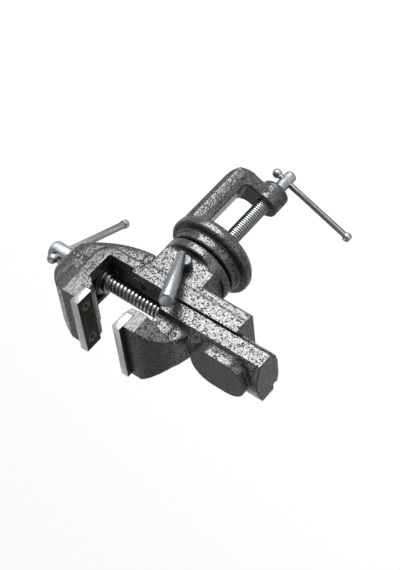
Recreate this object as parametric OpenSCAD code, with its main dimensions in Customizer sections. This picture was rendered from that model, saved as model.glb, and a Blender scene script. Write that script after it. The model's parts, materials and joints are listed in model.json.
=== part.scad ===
// Clamp-on swivel bench vise: a C-clamp with a turntable, a cast body with a
// curved arm that carries the fixed jaw, and a sliding jaw on a dovetail bed.
// Frame: +Z up the swivel axis, z = 0 where the clamp meets the table,
// +X along the main screw towards its handle, millimetres.

/* [Jaws] */
// Width of the jaw plates
jaw_w = 60; // [56:1:66]
// Height of the jaw plates
plate_h = 16; // [13:0.5:19]
// Thickness of the jaw plates
plate_t = 6.9; // [5.5:0.1:8]
// Jaw opening as drawn
jaw_gap = 33.3; // [24:0.1:42]
// How far the plates stand above the cast jaws
plate_proud = 4; // [2:0.5:5]
// Distance between a plate's two screws
plate_screw_pitch = 38; // [30:1:42]
// Shank radius of the plate screws
plate_screw_r = 2.4; // [1.8:0.1:2.8]
// Head radius of the plate screws
plate_screw_head_r = 4.2; // [3.6:0.1:4.8]
// Length of the plate screws under the head
plate_screw_len = 12; // [9:0.5:16]

/* [Sliding jaw] */
// Length of the slide bar
slide_len = 93.4; // [88:0.2:100]
// Width of the slide bar
slide_w = 40.8; // [38:0.2:43]
// Height of the slide bar's straight sides
slide_side_h = 13.7; // [12.8:0.1:15]
// Rise of the slide bar's crowned top
slide_crown = 5.3; // [3:0.1:7]
// Width across the widest part of the dovetail tongue
tongue_w = 33.6; // [31:0.2:35]
// Height of the dovetail tongue
tongue_h = 7; // [6:0.2:8]
// Height of the jaw plates' seat above the bottom of the slide bar
jaw_lift = 34.2; // [32:0.2:37]
// Length of the cast jaw behind its plate
head_len = 31; // [28:0.5:34]
// Width of the neck under the cast jaw
neck_w = 33.2; // [31:0.2:37]
// Length of the anvil pad
anvil_len = 49.6; // [44:0.2:52]
// Width of the anvil pad
anvil_w = 37.4; // [34:0.2:40]
// Height of the anvil face above the bottom of the slide bar
anvil_lift = 24.7; // [22.5:0.1:27]

/* [Body] */
// Radius of the turntable disc
disc_r = 29.7; // [28:0.1:31.5]
// Height of the turntable disc
disc_h = 7.8; // [6.5:0.1:9]
// Width of the body casting
body_w = 46.2; // [44:0.2:50]
// Width of the arm outside its raised rim
arm_w = 43.6; // [41:0.2:45]
// Height of the bed's underside above the turntable's underside
bed_lift = 25; // [24:0.5:27]
// Height of the bed
bed_h = 20.5; // [19.5:0.1:23]
// Distance from the swivel axis to the bed's rear end
bed_back = 71.6; // [66:0.2:76]
// Distance from the swivel axis to the bed's front end
bed_front = 27; // [24:0.5:30]
// Distance from the swivel axis to the front of the block on the turntable
block_front = 21; // [18:0.5:23]
// Distance from the swivel axis to the back of the block on the turntable
block_back = 26; // [23:0.5:29]
// Distance from the swivel axis to the fixed plate's face
fixed_face = 36.2; // [34:0.2:38]
// Depth of the throat behind the fixed plate's face
throat = 14.8; // [13.4:0.1:16]
// Thickness of the arm at the main screw
arm_t = 31.8; // [28:0.2:34]

/* [Main screw] */
// Thread radius of the main screw
screw_r = 6.1; // [5.4:0.1:6.6]
// Height of the main screw above the bottom of the slide bar
screw_lift = 5.2; // [4.6:0.1:6]
// Head radius of the main screw
screw_head_r = 8; // [7.2:0.1:8.8]
// Length of the main screw's head
screw_head_len = 19.2; // [17:0.2:22]
// Length of the thread between the arm and the screw's end
thread_len = 101; // [97:1:104]
// Distance between the ball ends of the main tommy bar
bar_len = 100; // [90:1:110]
// Radius of the main tommy bar
bar_r = 3; // [2.7:0.1:3.1]
// Radius of the near ball end on the main tommy bar
bar_ball_r = 4.2; // [3.9:0.1:4.8]
// Radius of the far ball end on the main tommy bar
bar_far_r = 3.9; // [3.9:0.1:4.4]
// Turn of the main tommy bar about the screw as drawn
bar_turn = 30; // [0:1:180]
// Tilt of the main tommy bar in its hole
bar_tilt = 4.3; // [0:0.1:4.3]

/* [Clamp] */
// Radius of the table plate
table_r = 36.5; // [35:0.1:38]
// Thickness of the table plate
table_h = 11; // [9:0.2:13]
// Height of the turntable seat above the table plate
seat_h = 8.5; // [7:0.1:10]
// Height of the groove between the seat and the turntable
groove_h = 2; // [1.5:0.1:3]
// Turn of the clamp under the body as drawn
swivel_turn = -22.5; // [-180:0.5:180]
// Clear height under the table plate beside the arm
mouth_h = 54.5; // [50:0.5:60]
// Distance from the swivel axis to the clamp arm
clamp_throat = 18.1; // [17:0.1:20]
// Distance of the clamp screw's axis behind the swivel axis
clamp_set = 2.2; // [0:0.1:3]
// Depth of the clamp arm's section
clamp_arm_t = 16.2; // [15:0.1:19]
// Width of the clamp arm's section
clamp_arm_w = 29; // [26:0.5:32]
// Width of the clamp's lower arm at the screw
clamp_foot_w = 24; // [22:0.2:24.2]
// Height of the clamp's lower arm
clamp_foot_h = 12.6; // [10:0.1:14]
// Radius of the screw boss on the clamp
clamp_boss_r = 12.2; // [12.2:0.1:13]
// Height of the screw boss on the clamp
clamp_boss_h = 18; // [16:0.1:21]
// Thread radius of the clamp screw
clamp_screw_r = 6.1; // [5.6:0.1:6.6]
// Radius of the clamp screw's plain head
clamp_head_r = 5; // [4.6:0.1:5.4]
// Length of the clamp screw's head
clamp_head_len = 20.7; // [17:0.1:22]
// Radius of the clamp pad
pad_r = 11.5; // [10:0.5:13]
// Thickness of the clamp pad
pad_h = 5; // [4.5:0.1:6]
// Gap between the pad and the table plate as drawn
pad_gap = 4.5; // [2.4:0.1:8]
// Distance between the ball ends of the clamp tommy bar
clamp_bar_len = 75; // [70:1:86]
// Radius of the clamp tommy bar
clamp_bar_r = 2.5; // [2:0.1:2.8]
// Radius of the ball ends on the clamp tommy bar
clamp_ball_r = 4; // [3.6:0.1:4.4]
// Turn of the clamp tommy bar as drawn
clamp_bar_turn = 153.5; // [0:0.5:360]

/* [Swivel lock] */
// Radius of the swivel post
post_r = 9; // [8:0.1:10]
// Height of the swivel post above its seat
post_h = 27; // [25.5:0.5:28.5]
// Height of the lock screw's axis above the turntable's underside
lock_lift = 19; // [17:0.1:19.5]
// Distance of the lock screw's axis behind the swivel axis
lock_offset = 4; // [2:0.2:5]
// Thread radius of the lock screw
lock_r = 4; // [3.5:0.1:4.5]
// Head radius of the lock screw
lock_head_r = 5.2; // [4.8:0.1:5.8]
// Length of the lock screw's head
lock_head_len = 8.6; // [7.5:0.1:10]
// Length of the lock lever beyond its screw
lever_len = 52.6; // [46:0.2:60]
// Length of the lock lever's short end
lever_tail = 8; // [7:0.2:10.6]
// Radius of the lock lever at its grip end
lever_r = 5.85; // [5.2:0.05:6.4]
// Radius of the lock lever at its thin end
lever_thin_r = 4.1; // [3.5:0.05:4.3]
// Lean of the lock lever away from the body's side
lever_lean = 17.4; // [16:0.2:24]
// Slant of the lock lever towards the bed's rear end
lever_slant = 28.3; // [24:0.2:36]

/* [Hidden] */
$fn = 64;

// overrun of every cut, the play of a running fit, and the gap at a seat
over = 1;
fit = 0.05;
seat = 0.3;
// how finely a curved outline is stepped
steps = 8;

// colours of the paint, the bright steel, the screws and the dark plate faces
paint = "#4b4d50";
steel = "#b9bbbd";
zinc = "#a9adb0";
dark = "#4a443e";

// levels up the swivel axis
z_seat = table_h + seat_h;
z_disc = z_seat + groove_h;
z_bed = z_disc + bed_lift;
z_bed_top = z_bed + bed_h;
z_slide = z_bed_top + seat;
z_slide_side = z_slide + slide_side_h;
z_screw = z_slide + screw_lift;
z_ledge = z_slide + jaw_lift;
z_jaw = z_ledge + plate_h - plate_proud;
z_plate_screw = z_ledge + plate_h / 2;
z_anvil = z_slide + anvil_lift;
z_lock = z_disc + lock_lift;
// places along the main screw
x_fixed_back = fixed_face + plate_t;
x_moving = fixed_face - jaw_gap;
x_moving_back = x_moving - plate_t;
x_arm_in = fixed_face + throat;
x_arm_out = x_arm_in + arm_t;

half_jaw = jaw_w / 2;
half_body = body_w / 2;
half_arm = arm_w / 2;
half_slide = slide_w / 2;

// points of a cubic curve through its four control points
function curve(p) = [for (i = [0 : steps]) let (t = i / steps, u = 1 - t)
    p[0] * u * u * u + 3 * p[1] * u * u * t + 3 * p[2] * u * t * t + p[3] * t * t * t];
// points of an arc about c, from angle a to angle b
function arc(c, r, a, b) = [for (i = [0 : steps]) let (t = a + (b - a) * i / steps)
    c + r * [cos(t), sin(t)]];
// half an outline and its mirror image across the first axis
function both(half) = concat(half, [for (i = [len(half) - 1 : -1 : 0]) [half[i][0], -half[i][1]]]);
// shares of a span, set out from a corner
function spread(shares, corner, span) =
    [for (s = shares) [corner[0] + s[0] * span[0], corner[1] + s[1] * span[1]]];

// a prism of an outline in X and Z, centred on Y
module along_y(width) {
    rotate([90, 0, 0]) linear_extrude(width, center = true) children();
}
// a prism of an outline in Y and Z, from x0 to x1
module along_x(x0, x1) {
    translate([x0, 0, 0]) rotate([90, 0, 90]) linear_extrude(x1 - x0) children();
}
// a prism of an outline in X and Y, from z0 to z1
module along_z(z0, z1) {
    translate([0, 0, z0]) linear_extrude(z1 - z0) children();
}
// a round bar along Z with both ends bevelled
module bar(r, z0, z1, bevel) {
    rotate_extrude() polygon([[0, z0], [r - bevel, z0], [r, z0 + bevel], [r, z1 - bevel],
        [r - bevel, z1], [0, z1]]);
}
// places of the two screws of a jaw plate
module at_plate_screws() {
    for (side = [-1, 1])
        translate([0, side * plate_screw_pitch / 2, z_plate_screw]) children();
}

// the clamp: a table plate with the turntable seat, a bevelled C-shaped arm and a screw boss
plate_bevel_w = 3;
plate_bevel_h = 4.5;
plate_round = 1.5;
seat_fillet = 2;
seat_bevel = 0.8;
groove_r = 22;
clamp_bevel_in = 5;
clamp_bevel_in_w = 2;
clamp_bevel_out = 4.4;
clamp_bevel_out_w = 3.5;
clamp_corner_r = 18;
clamp_fillet = 4;
clamp_boss_drop = 0.5;
clamp_boss_bevel = 1;
post_floor = 5;

x_clamp_out = clamp_throat + clamp_arm_t;
z_clamp_low = -mouth_h - clamp_foot_h;
z_foot_mid = -mouth_h - clamp_foot_h / 2;
z_boss_top = -mouth_h - clamp_boss_drop;
z_boss_low = z_boss_top - clamp_boss_h;

module table_plate() {
    rotate_extrude() polygon(concat(
        [[0, 0], [table_r - plate_bevel_w, 0], [table_r, plate_bevel_h],
            [table_r, table_h - plate_round], [table_r - plate_round, table_h]],
        arc([disc_r + seat_fillet, table_h + seat_fillet], seat_fillet, 270, 180),
        [[disc_r, z_seat - seat_bevel], [disc_r - seat_bevel, z_seat], [groove_r, z_seat],
            [groove_r, z_disc - seat], [0, z_disc - seat]]));
}
// outline of the C from the side, rounded outside and filleted in the throat
module clamp_side() {
    polygon(concat(
        [[clamp_throat, plate_bevel_h], [x_clamp_out, plate_bevel_h]],
        arc([x_clamp_out - clamp_corner_r, z_clamp_low + clamp_corner_r], clamp_corner_r, 0, -90),
        [[-clamp_set, z_clamp_low], [-clamp_set, z_boss_top],
            [clamp_boss_r - clamp_set, z_boss_top]],
        arc([clamp_throat - clamp_fillet, clamp_fillet - mouth_h], clamp_fillet, -90, 0)));
}
// section of the upright arm: bevelled towards the screw and outside
module clamp_upright() {
    polygon(both([[clamp_throat, clamp_arm_w / 2 - clamp_bevel_in_w],
        [clamp_throat + clamp_bevel_in, clamp_arm_w / 2],
        [x_clamp_out - clamp_bevel_out, clamp_arm_w / 2],
        [x_clamp_out, clamp_arm_w / 2 - clamp_bevel_out_w]]));
}
// section of the lower arm, wide side up, with the bevels of the upright
module clamp_foot(half) {
    polygon([[clamp_bevel_in_w - half, -mouth_h], [half - clamp_bevel_in_w, -mouth_h],
        [half, z_foot_mid], [half - clamp_bevel_out_w, z_clamp_low],
        [clamp_bevel_out_w - half, z_clamp_low], [-half, z_foot_mid]]);
}
// the upright from its outer side, bevelled round the corner like the lower arm
module clamp_end() {
    half = clamp_arm_w / 2;
    polygon([[-half, plate_bevel_h], [-half, z_foot_mid], [clamp_bevel_out_w - half, z_clamp_low],
        [half - clamp_bevel_out_w, z_clamp_low], [half, z_foot_mid], [half, plate_bevel_h]]);
}
module clamp_frame() {
    color(paint) rotate([0, 0, swivel_turn]) difference() {
        union() {
            table_plate();
            intersection() {
                along_y(clamp_arm_w) clamp_side();
                union() {
                    intersection() {
                        along_z(z_clamp_low, plate_bevel_h) clamp_upright();
                        along_x(0, x_clamp_out) clamp_end();
                    }
                    // the lower arm narrows from the corner to the boss
                    hull() {
                        along_x(x_clamp_out - over, x_clamp_out)
                            clamp_foot(clamp_arm_w / 2 - clamp_bevel_out_w);
                        along_x(x_clamp_out - clamp_bevel_out - over, x_clamp_out - clamp_bevel_out)
                            clamp_foot(clamp_arm_w / 2);
                        along_x(-clamp_set, over - clamp_set) clamp_foot(clamp_foot_w / 2);
                    }
                }
            }
            along_y(clamp_arm_w - 2 * clamp_bevel_in_w) polygon(concat(
                [[clamp_throat + over, -mouth_h - over], [clamp_throat - clamp_fillet, -mouth_h - over]],
                arc([clamp_throat - clamp_fillet, clamp_fillet - mouth_h], clamp_fillet, -90, 0),
                [[clamp_throat + over, clamp_fillet - mouth_h]]));
            translate([-clamp_set, 0, 0])
                bar(clamp_boss_r, z_boss_low, z_boss_top, clamp_boss_bevel);
        }
        translate([0, 0, post_floor]) cylinder(r = post_r + fit, h = z_disc);
        translate([-clamp_set, 0, z_boss_low - over])
            cylinder(r = clamp_screw_r + fit, h = clamp_boss_h + clamp_boss_drop + 2 * over);
    }
}

// the swivel post, pressed into the clamp, with a groove for the lock screw's point
post_groove = 1;
post_groove_h = 6.4;
post_bevel = 1;

z_post_top = z_seat + post_h;

module swivel_post() {
    z0 = post_floor + fit;
    color(steel) rotate_extrude() polygon([[0, z0], [post_r - post_bevel, z0],
        [post_r, z0 + post_bevel], [post_r, z_lock - post_groove_h / 2 - post_groove],
        [post_r - post_groove, z_lock - post_groove_h / 2],
        [post_r - post_groove, z_lock + post_groove_h / 2],
        [post_r, z_lock + post_groove_h / 2 + post_groove], [post_r, z_post_top - post_bevel],
        [post_r - post_bevel, z_post_top], [0, z_post_top]]);
}

// the pad turns on a spigot at the top of the clamp screw
spigot_r = 4;
spigot_len = 3.2;
pad_bevel = 1.2;
pad_hub_r = 8;
pad_rim_h = 2.5;
// rounding at the end of a screw's head, and the tommy bar's distance from that end
head_round = 3;
clamp_bar_set = 8.7;

z_pad = -pad_gap;
z_pad_low = z_pad - pad_h;
z_clamp_thread = z_pad_low - seat;
z_clamp_neck = z_boss_low - seat_bevel;
z_clamp_end = z_clamp_neck - clamp_head_len;
z_clamp_bar = z_clamp_end + clamp_bar_set;

// the clamp screw's axis, in the turned clamp
module at_clamp_screw() {
    translate(clamp_set * [-cos(swivel_turn), -sin(swivel_turn), 0]) children();
}
module clamp_pad() {
    color(steel) at_clamp_screw() difference() {
        rotate_extrude() polygon([[0, z_pad_low], [pad_hub_r, z_pad_low],
            [pad_hub_r, z_pad - pad_rim_h - pad_bevel / 2], [pad_r, z_pad - pad_rim_h],
            [pad_r, z_pad - pad_bevel], [pad_r - pad_bevel, z_pad], [0, z_pad]]);
        translate([0, 0, z_pad_low - over])
            cylinder(r = spigot_r + fit, h = spigot_len + over);
    }
}
module clamp_screw() {
    z_spigot = z_pad_low + spigot_len - seat;
    color(zinc) at_clamp_screw() difference() {
        rotate_extrude() polygon(concat(
            [[0, z_spigot], [spigot_r, z_spigot], [spigot_r, z_clamp_thread],
                [clamp_screw_r - seat_bevel, z_clamp_thread],
                [clamp_screw_r, z_clamp_thread - seat_bevel], [clamp_screw_r, z_clamp_neck],
                [clamp_head_r, z_clamp_neck - seat_bevel]],
            arc([clamp_head_r - head_round, z_clamp_end + head_round], head_round, 0, -90),
            [[0, z_clamp_end]]));
        translate([0, 0, z_clamp_bar]) rotate([0, 90, clamp_bar_turn])
            cylinder(r = clamp_bar_r + seat, h = 4 * clamp_head_r, center = true);
    }
}

// a tommy bar along +X, its near ball clear of the head of a screw
function bar_near(head_r, ball_r) = head_r + ball_r + seat;
module tommy_bar(r, near, length) {
    translate([-near, 0, 0]) rotate([0, 90, 0]) cylinder(r = r, h = length);
}
// the ball ends, pressed on the bar as far as their centres
module tommy_ends(r, ball_r, far_r, near, length) {
    for (end = [0, 1])
        translate([end * length - near, 0, 0]) rotate([0, 90 - end * 180, 0]) difference() {
            sphere(r = ball_r + end * (far_r - ball_r));
            translate([0, 0, -fit]) cylinder(r = r + fit, h = ball_r + over);
        }
}
module at_clamp_bar() {
    at_clamp_screw() translate([0, 0, z_clamp_bar]) rotate([0, 0, clamp_bar_turn]) children();
}
module clamp_bar() {
    color(zinc) at_clamp_bar()
        tommy_bar(clamp_bar_r, bar_near(clamp_head_r, clamp_ball_r), clamp_bar_len);
}
module clamp_bar_ends() {
    color(zinc) at_clamp_bar()
        tommy_ends(clamp_bar_r, clamp_ball_r, clamp_ball_r, bar_near(clamp_head_r, clamp_ball_r),
            clamp_bar_len);
}

// the body casting: turntable, block, bed and the arm that curves round to the fixed jaw
disc_bevel = 0.8;
block_over_disc = 4.2;
block_fillet = 4;
bed_step = 7.5;
bed_step_w = 0.6;
bed_under_w = 0.9;
bed_round = 2.2;
floor_drop = 2.8;
rim_foot = 7.4;
rim_head = 10.5;
rim_corner = 12;
channel_w = 24.8;
channel_depth = 5;
slot_runout = 5;
throat_bevel_w = 6.6;
throat_bevel_d = 3.6;
boss_r = 12.5;
head_boss_r = 11;
head_boss_len = 3.2;
post_head_room = 0.8;
// shares of the arm's reach from the block and of its rise from the bed's underside
arm_back_shares = [[0, 0], [0.42, 0.015], [0.66, 0.127], [0.943, 0.32]];
arm_heel_shares = [[0.943, 0.32], [0.98, 0.37], [1, 0.46], [1, 0.567]];
arm_nose_shares = [[1, 0.567], [1, 0.71], [0.834, 0.925], [0.566, 1]];
// shares of the same reach and of half the arm's width, where the arm rounds off in plan
arm_plan_shares = [[0.8, 1], [0.93, 1], [1, 0.8], [1.03, 0.45]];
// the fixed jaw's wings: shares of the reach and of half the jaw's width
wing_root_share = [0.55, 1];
wing_tip_shares = [[0.89, 0.57], [0.94, 0.51], [0.99, 0.43], [1.01, 0.3]];
// the lip under the fixed plate and the underside of the fixed jaw
lip_out = 4.6;
lip_drop = 4.9;
lip_back = 1.7;
throat_drop = 10;

arm_reach = x_arm_out - block_front;
arm_rise = z_jaw - z_bed;
z_floor = z_bed_top - floor_drop;
z_block = z_disc + disc_h + block_over_disc;
z_step = z_bed + bed_step + bed_step_w;
z_throat = z_ledge - throat_drop;
z_slot = z_slide - tongue_h - seat;
x_shoulder = x_arm_out + head_boss_len + seat;

module at_screw(x) {
    translate([x, 0, z_screw]) rotate([0, 90, 0]) children();
}
function arm_points(shares) = curve(spread(shares, [block_front, z_bed], [arm_reach, arm_rise]));
function half_plan(shares, half) = curve(spread(shares, [block_front, 0], [arm_reach, half]));
// lip under the fixed plate, from the plate's back round to the throat
fixed_lip = [[x_fixed_back, z_ledge], [x_fixed_back - lip_out, z_ledge],
    [x_fixed_back - lip_out + seat_bevel, z_ledge - lip_drop],
    [x_fixed_back + lip_back, z_throat]];

module turntable() {
    bar(disc_r, z_disc, z_disc + disc_h, disc_bevel);
    along_z(z_block, z_slot - seat) polygon([[-block_back, -half_body], [block_front, -half_body],
        [block_front, half_body], [-block_back, half_body]]);
    // the block's foot narrows to the disc, with a fillet on the flat sides
    intersection() {
        along_x(-block_back, block_front) polygon(both_sides(concat(
            [[0, z_disc + disc_h - over], [half_body + block_fillet, z_disc + disc_h - over]],
            arc([half_body + block_fillet, z_disc + disc_h + block_fillet], block_fillet, 270, 180),
            [[half_body, z_block + over], [0, z_block + over]])));
        cylinder(r = disc_r, h = z_bed_top);
    }
}
// half an outline in Y and Z and its mirror image across Z
function both_sides(half) =
    concat(half, [for (i = [len(half) - 1 : -1 : 0]) [-half[i][0], half[i][1]]]);

module bed() {
    along_x(-bed_back, bed_front) polygon(both_sides(concat(
        arc([half_body - bed_under_w - bed_round, z_bed + bed_round], bed_round, 270, 360),
        [[half_body - bed_step_w, z_bed + bed_step], [half_body, z_step],
            [half_body, z_bed_top]])));
    // the fillet between the block's rear edge and the bed's step
    along_y(body_w) polygon(concat([[over - block_back, z_step + over],
        [over - block_back, z_step - block_fillet]],
        arc([-block_back - block_fillet, z_step - block_fillet], block_fillet, 0, 90),
        [[-block_back - block_fillet, z_step + over]]));
}
// the arm, seen from the side
module arm_side() {
    polygon(concat(arm_points(arm_back_shares), arm_points(arm_heel_shares),
        arm_points(arm_nose_shares),
        [[x_fixed_back, z_jaw], [x_fixed_back, z_throat], [x_arm_in, z_throat], [x_arm_in, z_floor],
            [block_front - over, z_floor], [block_front - over, z_bed]]));
}
// the raised rim round the throat
module rim_side() {
    polygon(concat([[block_front - over, z_floor - rim_foot]],
        arc([x_arm_in + rim_head - rim_corner, z_floor - rim_foot + rim_corner], rim_corner, -90, 0),
        [[x_arm_in + rim_head, z_throat + over], [x_arm_in, z_throat + over], [x_arm_in, z_floor],
            [block_front - over, z_floor]]));
}
module arm() {
    intersection() {
        along_y(body_w) arm_side();
        along_z(z_disc, z_jaw) polygon(both(concat([[block_front - over, half_arm]],
            half_plan(arm_plan_shares, half_arm))));
    }
    along_y(body_w) rim_side();
}
// the fixed jaw: winged in plan, rounded over the top, lipped under the plate
module fixed_head() {
    intersection() {
        along_y(jaw_w) polygon(concat(fixed_lip, [[x_arm_in, z_throat]],
            arm_points(arm_nose_shares), [[x_fixed_back, z_jaw]]));
        along_z(z_bed, z_jaw) polygon(both(concat([[fixed_face, half_jaw]],
            spread([wing_root_share], [block_front, 0], [arm_reach, half_jaw]),
            half_plan(wing_tip_shares, half_jaw))));
    }
}
module dovetail(clear, x0, x1) {
    wide = tongue_w / 2 + clear;
    along_x(x0, x1) polygon(both_sides([[0, z_slide - tongue_h - clear],
        [wide * tongue_foot_share, z_slide - tongue_h - clear],
        [wide, z_slide - tongue_h * tongue_wide_share], [wide - tongue_flare, z_slide],
        [wide - tongue_flare, z_slide + over], [0, z_slide + over]]));
}
module vise_body() {
    color(paint) difference() {
        union() {
            turntable();
            bed();
            difference() {
                union() {
                    arm();
                    fixed_head();
                }
                // the channel round the throat
                along_y(channel_w) polygon([[block_front - 2 * over, z_slot],
                    [x_arm_in + channel_depth, z_slot], [x_arm_in + channel_depth, z_throat],
                    [block_front - 2 * over, z_throat]]);
                // the bevel on the far edge of the throat
                along_z(z_floor, z_throat) polygon([[x_arm_in - over, half_body - throat_bevel_w],
                    [x_arm_in, half_body - throat_bevel_w],
                    [x_arm_in + throat_bevel_d, half_body], [x_arm_in + throat_bevel_d, half_body + over],
                    [x_arm_in - over, half_body + over]]);
            }
            at_screw(x_arm_in) cylinder(r = boss_r, h = arm_t / 2);
            at_screw(x_arm_out - arm_t / 2) cylinder(r = head_boss_r, h = arm_t / 2 + head_boss_len);
        }
        dovetail(seat, -bed_back - over, bed_front + slot_runout);
        at_screw(x_arm_in - over) cylinder(r = screw_r + fit, h = arm_t + head_boss_len + 2 * over);
        translate([0, 0, z_disc - over])
            cylinder(r = post_r + fit, h = z_post_top + post_head_room - z_disc + over);
        translate([-lock_offset, -half_body - over, z_lock]) rotate([-90, 0, 0])
            cylinder(r = lock_r + fit, h = half_body);
        at_plate_screws() translate([x_fixed_back - over, 0, 0]) rotate([0, 90, 0])
            cylinder(r = plate_screw_r + fit, h = plate_screw_len + over);
    }
}

// the jaw plates, with their working face towards -X, and their screws
plate_bevel = 0.5;
plate_screw_sink = 0.5;
plate_screw_head_h = 4;
hex_r = 2.2;
hex_depth = 2;

module jaw_plate() {
    difference() {
        along_y(jaw_w) polygon([[plate_bevel, z_ledge + fit], [plate_t - fit, z_ledge + fit],
            [plate_t - fit, z_ledge + plate_h], [plate_bevel, z_ledge + plate_h],
            [0, z_ledge + plate_h - plate_bevel], [0, z_ledge + fit + plate_bevel]]);
        at_plate_screws() rotate([0, 90, 0]) {
            translate([0, 0, -over]) cylinder(r = plate_screw_r + fit, h = plate_t + 2 * over);
            translate([0, 0, -over]) cylinder(r = plate_screw_head_r + fit,
                h = plate_screw_sink + plate_screw_head_h + over);
        }
    }
}
module jaw_plate_screws() {
    at_plate_screws() translate([plate_screw_sink, 0, 0]) rotate([0, 90, 0]) difference() {
        union() {
            translate([0, 0, plate_screw_head_h - fit]) cylinder(r = plate_screw_r,
                h = plate_screw_len);
            cylinder(r = plate_screw_head_r, h = plate_screw_head_h - fit);
        }
        translate([0, 0, -over]) cylinder(r = hex_r, h = hex_depth + over, $fn = 6);
    }
}
module fixed_jaw_plate() {
    color(dark) translate([fixed_face, 0, 0]) jaw_plate();
}
module fixed_plate_screws() {
    color(steel) translate([fixed_face, 0, 0]) jaw_plate_screws();
}
module sliding_jaw_plate() {
    color(steel) translate([x_moving, 0, 0]) mirror([1, 0, 0]) jaw_plate();
}
module sliding_plate_screws() {
    color(steel) translate([x_moving, 0, 0]) mirror([1, 0, 0]) jaw_plate_screws();
}

// the sliding jaw: a crowned slide bar on a dovetail tongue, with the jaw and the anvil on top
tongue_flare = 2.3;
tongue_foot_share = 0.5;
tongue_wide_share = 0.686;
neck_back = 6.1;
neck_len = 29.9;
neck_root_h = 3;
jaw_lip_out = 0.6;
jaw_lip_drop = 5.5;
jaw_lip_back = 6;
screw_bore_len = 78;
anvil_back = 7.6;
anvil_sink = 12;
// shares of the cast jaw's length and height, over its rounded back
jaw_back_shares = [[1, 0], [0.926, 0.223], [0.629, 1], [0.29, 1]];
// shares of the same length and of half the jaw's width, for the flat wings
jaw_wing_shares = [[0.323, 1], [1.01, 0.467]];
// shares of the neck's length and of half its width, where its rear corners round off
neck_corner_shares = [[0.6, 1], [0.8, 0.96], [0.98, 0.88], [1, 0.72]];

x_slide = x_moving_back - neck_back;
z_jaw_low = z_ledge - jaw_lip_drop;

// the crown is an arc through both edges of the slide's sides
function crown_r() = (half_slide * half_slide + slide_crown * slide_crown) / (2 * slide_crown);
module slide_bar() {
    r = crown_r();
    half_angle = asin(half_slide / r);
    along_x(x_slide - slide_len, x_slide) polygon(concat(
        [[-half_slide, z_slide], [half_slide, z_slide]],
        arc([0, z_slide_side + slide_crown - r], r, 90 - half_angle, 90 + half_angle)));
    dovetail(0, x_slide - slide_len, x_slide);
}
// the neck rises to the jaw's back, with rounded rear corners
module neck() {
    z_root = z_slide_side + neck_root_h;
    x_back = x_moving_back - head_len;
    intersection() {
        along_y(slide_w) polygon([[x_slide, z_slide_side - over],
            [x_slide - neck_len, z_slide_side - over], [x_slide - neck_len, z_root],
            [x_back, z_jaw_low], [x_back + over, z_jaw_low + over], [x_slide, z_jaw_low + over]]);
        along_z(z_slide, z_jaw) polygon(both(concat([[x_slide, neck_w / 2]],
            curve(spread(neck_corner_shares, [x_slide, 0], [-neck_len, neck_w / 2])))));
    }
}
module sliding_head() {
    intersection() {
        along_y(jaw_w) polygon(concat(
            [[x_moving_back, z_jaw], [x_moving_back, z_ledge], [x_moving - jaw_lip_out, z_ledge],
                [x_moving - jaw_lip_out - seat_bevel, z_jaw_low + seat_bevel],
                [x_moving - jaw_lip_out - jaw_lip_back, z_jaw_low]],
            curve(spread(jaw_back_shares, [x_moving_back, z_jaw_low],
                [-head_len, z_jaw - z_jaw_low]))));
        along_z(z_slide, z_jaw) polygon(both(concat([[x_moving, half_jaw]],
            spread(jaw_wing_shares, [x_moving_back, 0], [-head_len, half_jaw]))));
    }
}
module anvil() {
    half = anvil_w / 2;
    x_mid = x_slide - slide_len + anvil_back + anvil_len / 2;
    translate([x_mid, 0, 0]) along_z(z_anvil - anvil_sink, z_anvil) union() {
        square([anvil_len - anvil_w, anvil_w], center = true);
        for (end = [-1, 1])
            translate([end * (anvil_len - anvil_w) / 2, 0]) circle(r = half);
    }
}
module sliding_jaw() {
    color(paint) difference() {
        union() {
            slide_bar();
            neck();
            sliding_head();
            anvil();
        }
        at_screw(x_slide - screw_bore_len) cylinder(r = screw_r + fit, h = screw_bore_len + over);
        at_plate_screws() translate([x_moving_back + over, 0, 0]) rotate([0, -90, 0])
            cylinder(r = plate_screw_r + fit, h = plate_screw_len + over);
    }
}

// the main screw runs in the arm between its head and a pinned collar with a washer
collar_r = 8.7;
collar_len = 4.2;
washer_r = 10;
washer_t = 1.2;
thrust_play = 0.2;
collar_pin_r = 1.25;
bar_hole_play = 0.7;
bar_set = 9.1;

x_washer = x_arm_in - thrust_play - washer_t;
x_collar = x_washer - thrust_play - collar_len;
x_screw_end = x_arm_in - thread_len;
x_screw_head = x_shoulder + screw_head_len;
x_bar = x_screw_head - bar_set;

module collar_pin_hole(play) {
    translate([x_collar + collar_len / 2, 0, z_screw])
        cylinder(r = collar_pin_r + play, h = 2 * (collar_r - thrust_play), center = true);
}
module main_screw() {
    color(zinc) difference() {
        at_screw(0) rotate_extrude() polygon(concat(
            [[0, x_screw_end], [screw_r - seat_bevel, x_screw_end],
                [screw_r, x_screw_end + seat_bevel], [screw_r, x_shoulder],
                [screw_head_r - seat_bevel, x_shoulder],
                [screw_head_r, x_shoulder + seat_bevel]],
            arc([screw_head_r - head_round, x_screw_head - head_round], head_round, 0, 90),
            [[0, x_screw_head]]));
        translate([x_bar, 0, z_screw]) rotate([bar_turn, 0, 0])
            cylinder(r = bar_r + bar_hole_play, h = 4 * screw_head_r, center = true);
        collar_pin_hole(fit);
    }
}
module screw_washer() {
    color(steel) at_screw(x_washer) difference() {
        cylinder(r = washer_r, h = washer_t);
        translate([0, 0, -over]) cylinder(r = screw_r + thrust_play, h = washer_t + 2 * over);
    }
}
module screw_collar() {
    color(steel) difference() {
        at_screw(x_collar) difference() {
            bar(collar_r, 0, collar_len, seat_bevel);
            translate([0, 0, -over]) cylinder(r = screw_r + fit, h = collar_len + 2 * over);
        }
        collar_pin_hole(fit);
    }
}
module collar_pin() {
    color(zinc) collar_pin_hole(0);
}
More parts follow.
